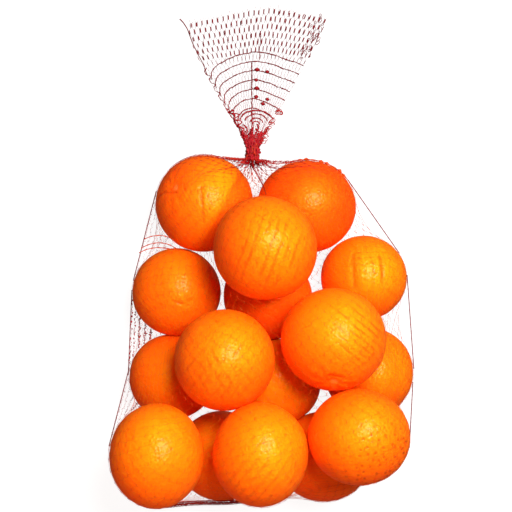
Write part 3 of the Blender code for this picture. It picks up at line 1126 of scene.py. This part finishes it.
def knotty_edge():
    """The fan's left edge, where every row turns back in a small loop, and the neck's ropes."""
    t = np.linspace(0.03, 0.62, 110)
    edge = on_fan(-0.99 + 0.05 * np.sin(t * 2 * math.pi / ROW_STEP), t)
    wound = np.linspace(0, 1, 60)
    turn = 2 * math.pi * 5 * wound
    rope = on_fan(-0.80 + 0.16 * np.sin(turn), 0.02 + 0.26 * wound, 0.6)
    runs = [strand(edge, 0.16, 0.50), strand(rope, 0.30, 0.75)]
    for across, reach in NECK_ROPES:
        t = np.linspace(0, reach, int(260 * reach))
        runs.append(strand(on_fan(across + 0.10 * np.sin(60 * t), t, 0.5), 0.25, 0.75, 0.6))
    return runs


def neck_lumps():
    """Tight knots that stand out all over the neck and low on the fan's left edge."""
    lumps = []
    for _ in range(NECK_LUMPS):
        turn = straying.uniform(0, 2 * math.pi)
        t = straying.uniform(-1.0, 1.0)
        place = neck_point(np.array(turn), 1 + t) if t < 0 else fan_point(np.array(turn), 0.13 * t)
        place[0] += 0.7 * math.cos(turn)
        way = straying.normal(0, 1, 3)
        way *= straying.uniform(0.5, 1.3) / norm(way)
        size = straying.uniform(0.5, 1.1)
        lumps.append(lump(place + np.linspace(-1, 1, 5)[:, None] * way, size, 0.35, 0.5))
    return lumps


def stray_loops():
    """Loops of thread that stand out from the net and come back beside their start."""
    wound = np.linspace(-0.4 * math.pi, 1.4 * math.pi, 9)
    shape = np.stack([np.cos(wound) * 0.45, 0.8 + np.sin(wound)], axis=1)
    loops = []
    for count, along, aside, turned, sizes, tone, thickest in STRAY_LOOPS:
        for _ in range(count):
            t = straying.uniform(*along)
            across = straying.uniform(*aside) if len(aside) > 1 else aside[0]
            start = on_fan(np.array([across]), np.array([t]))[0]
            turn = straying.uniform(*turned)
            x, y = math.cos(turn), math.sin(turn)
            out = shape * straying.uniform(*sizes)
            points = start + out[:, :1] * (y, -x, 0.0) + out[:, 1:] * (x, y, 0.0)
            points[:, 2] = np.maximum(points[:, 2], 0.15)
            loops.append((points, straying.uniform(0.14, thickest, 9), tone))
    return loops


def loose_end():
    """The thread at the fan's left corner, which came out of the net and lies on the table."""
    places = points_at(np.linspace(0, 6, 30), range(7), np.array(LOOSE_END))
    return [(np.c_[places, np.full(30, 0.4)], np.linspace(0.22, 0.42, 30), 1.0)]


open_end = [net_thread(index, BAG_COURSES - 0.3, all_courses + 1) for index in range(THREADS)]
open_end += drawn_rows() + fold_line() + knotty_edge() + neck_lumps() + stray_loops()
tubes("net_open_end", open_end + loose_end())


# --- The gathers ------------------------------------------------------------------------
# Where the net is pulled together for its neck, some threads run in one twisted strand over
# the shoulders of the last fruit and along both sides of the bag.

# Places the twisted strands go through, half-width, turns per mm, least and greatest
# half-thickness of a thread, and slackness at both ends
TWISTS = (
    (((-7, 61), (-14, 60.3), (-21, 60.8), (-26, 61.6)), 0.75, 0.16, 0.30, 0.62, (0.5, 0.3)),
    (((-7, 61), (-1, 59), (6, 57.6), (14, 57.8), (22, 59.4)), 0.65, 0.20, 0.16, 0.42, (0.5, 0.3)),
    (
        ((-7, 61), (-6.6, 56), (-4, 51), (-1.5, 46), (0.5, 41), (1.5, 36)),
        0.80, 0.14, 0.16, 0.46, (0.5, 0.25),
    ),
)
BEAD_STEP = 4.6
# Threads that cross the hollows on the left: how far in, in radians, and how thick their
# knots are, by the fruit above the hollow
BRIDGING = (0.22, 0.45, 0.66, 0.84, 1.00)
BRIDGING_KNOT = {"f07": 0.15, "f10": 0.62, "f11": 0.14}
BRIDGING_STEP = 3.2
BRIDGING_STRAY = 0.42
SIDES = ((-1, ("f07", "f10", "f11", "f01")), (1, ("f08", "f09", "f12", "f03")))
SHOULDER_ROWS = (
    ((-75.5, 9.0), (-71.0, 10.8), (-66.0, 11.4), (-61.0, 10.6), (-57.0, 8.4)),
    ((-77.5, 3.2), (-72.5, 5.7), (-66.5, 6.8), (-60.5, 5.8), (-54.5, 2.6)),
    ((-78.8, 0.2), (-74.0, 2.5), (-68.0, 3.6), (-62.0, 3.2), (-57.0, 2.4)),
)

upper_net = bag_net[:, : bag_net.shape[1] // 2 + 1].reshape(-1, 3)


def smoothed(values, times):
    """A line with its corners rounded off between its two ends."""
    for _ in range(times):
        values[1:-1] = (values[:-2] + 2 * values[1:-1] + values[2:]) / 4
    return values


def lying_over(places):
    """A smooth line over the bag through places on it, given in mm seen from above."""
    places = np.array(places, float)
    run = run_along(places)
    line = smoothed(points_at(np.linspace(0, run[-1], int(run[-1] / 0.8) + 2), run, places), 6)
    height = []
    for x, y in line:
        apart = np.hypot(upper_net[:, 0] - x, upper_net[:, 1] - y) + 0.3
        nearest = np.argsort(apart)[:8]
        height.append(np.average(upper_net[nearest, 2], weights=apart[nearest] ** -2))
    return np.c_[line, smoothed(np.array(height), 4) + 0.25]


def twisted(line, half_width, turns_per_mm, least, greatest, tones):
    """Three threads wound round each other along a line that gets thinner."""
    taper = np.linspace(1, 0.35, len(line))
    reach = half_width * taper
    run = run_along(line)
    strands = []
    for start in range(3):
        turn = 2 * math.pi * (turns_per_mm * run + start / 3)
        aside = reach * np.cos(turn)
        points = line + np.stack([aside * 0.5, aside, reach * np.sin(turn)], axis=1)
        thickness = straying.uniform(least, greatest, len(line)) * taper
        points = clear_of_fruit(points, thickness)
        strands.append((points, thickness, np.interp(run, (0, run[-1]), tones)))
    return strands


def beaded(line, thin, bead, tone, step=BEAD_STEP, first_bead=0.0):
    """One thread with a knot every few millimetres."""
    share = 0.5 + 0.5 * np.cos(2 * math.pi * (run_along(line) / step - first_bead))
    thickness = thin + (bead - thin) * share**3
    return [(clear_of_fruit(line, thickness), thickness, tone)]


def round_fruit(name, from_turn, to_turn):
    """Places along the outline of a fruit, seen from above."""
    turn = np.linspace(math.radians(from_turn), math.radians(to_turn), 24)
    x = MIDDLE[name][0] + (HALF[name][0] + 0.3) * np.cos(turn)
    y = MIDDLE[name][1] + (HALF[name][1] + 0.3) * np.sin(turn)
    return np.stack([x, y, 0 * x + MIDDLE[name][2]], axis=1)


def taut(first, last, side, inset=0.0):
    """A straight thread from the side of one fruit to the side of the next."""
    between = MIDDLE[last][:2] - MIDDLE[first][:2]
    lean = math.acos((HALF[first][0] - HALF[last][0]) / norm(between))
    ahead = math.atan2(between[1], between[0])
    ends = []
    for name, turn in ((first, lean - inset), (last, lean + inset)):
        way = np.array((math.cos(ahead + side * turn), math.sin(ahead + side * turn), 0.0))
        ends.append(MIDDLE[name] + (HALF[name] + 0.4) * way)
    return ends[0] + np.linspace(0, 1, 60)[:, None] * (ends[1] - ends[0])


gathers = []
for places, *strands in TWISTS:
    gathers += twisted(lying_over(places), *strands)
gathers += beaded(round_fruit("f08", 115, 35), 0.20, 1.10, 0.0)
gathers += beaded(round_fruit("f07", 65, 130), 0.14, 0.22, 0.7)
for side, chain in SIDES:
    for first, last in zip(chain, chain[1:]):
        gathers += beaded(taut(first, last, side), 0.28, 0.34, 0.9)
        for inset in BRIDGING if side < 0 else ():
            line = taut(first, last, side, inset)
            line[1:-1] += straying.normal(0, BRIDGING_STRAY, (58, 3))
            first_knot = straying.uniform(0, 1)
            gathers += beaded(line, 0.04, BRIDGING_KNOT[first], 0.5, BRIDGING_STEP, first_knot)
for places in SHOULDER_ROWS:
    gathers += beaded(lying_over(places), 0.24, 0.36, 0.2)
tubes("net_gathers", gathers)


# --- The foot seam ----------------------------------------------------------------------
# The tube of net is folded over and overlocked with a chain of thicker thread, which makes
# a stiff cord across the end of the bag.

SEAM_CORD = 0.75  # half-thickness in mm
SEAM_STITCH = (1.25, 0.30, 1.9)  # half-width, half-thickness and length of a stitch


def seam_line(count):
    """The middle of the seam, a little wavy."""
    share = np.linspace(0, 1, count)
    x = FOOT[0] - FOOT_WIDTH / 2 + FOOT_WIDTH * share
    y = FOOT[1] + FOOT_SLANT * share + 0.5 * np.sin(9 * share)
    return np.stack([x, y, FOOT[2] + 0.6 * np.sin(14 * share)], axis=1)


def overlocked_seam():
    """The cord, the chain that winds round it, and a thinner thread along its upper edge."""
    half_width, half_thickness, length = SEAM_STITCH
    stitches = int(FOOT_WIDTH / length)
    chain = seam_line(12 * stitches)
    turn = np.linspace(0, 2 * math.pi * stitches, len(chain))
    chain[:, 1] += half_width * np.cos(turn)
    chain[:, 2] += half_width * np.sin(turn)
    chain[:, 0] += 0.4 * half_width * np.sin(2 * turn)
    return [
        strand(seam_line(120), SEAM_CORD * 0.75, SEAM_CORD, 0.6),
        (chain, straying.uniform(0.8, 1.2, len(chain)) * half_thickness, 0.7),
        strand(seam_line(90) + (0, 1.6, 1.3), 0.2, 0.5, 0.5),
    ]


tubes("net_foot_seam", overlocked_seam())
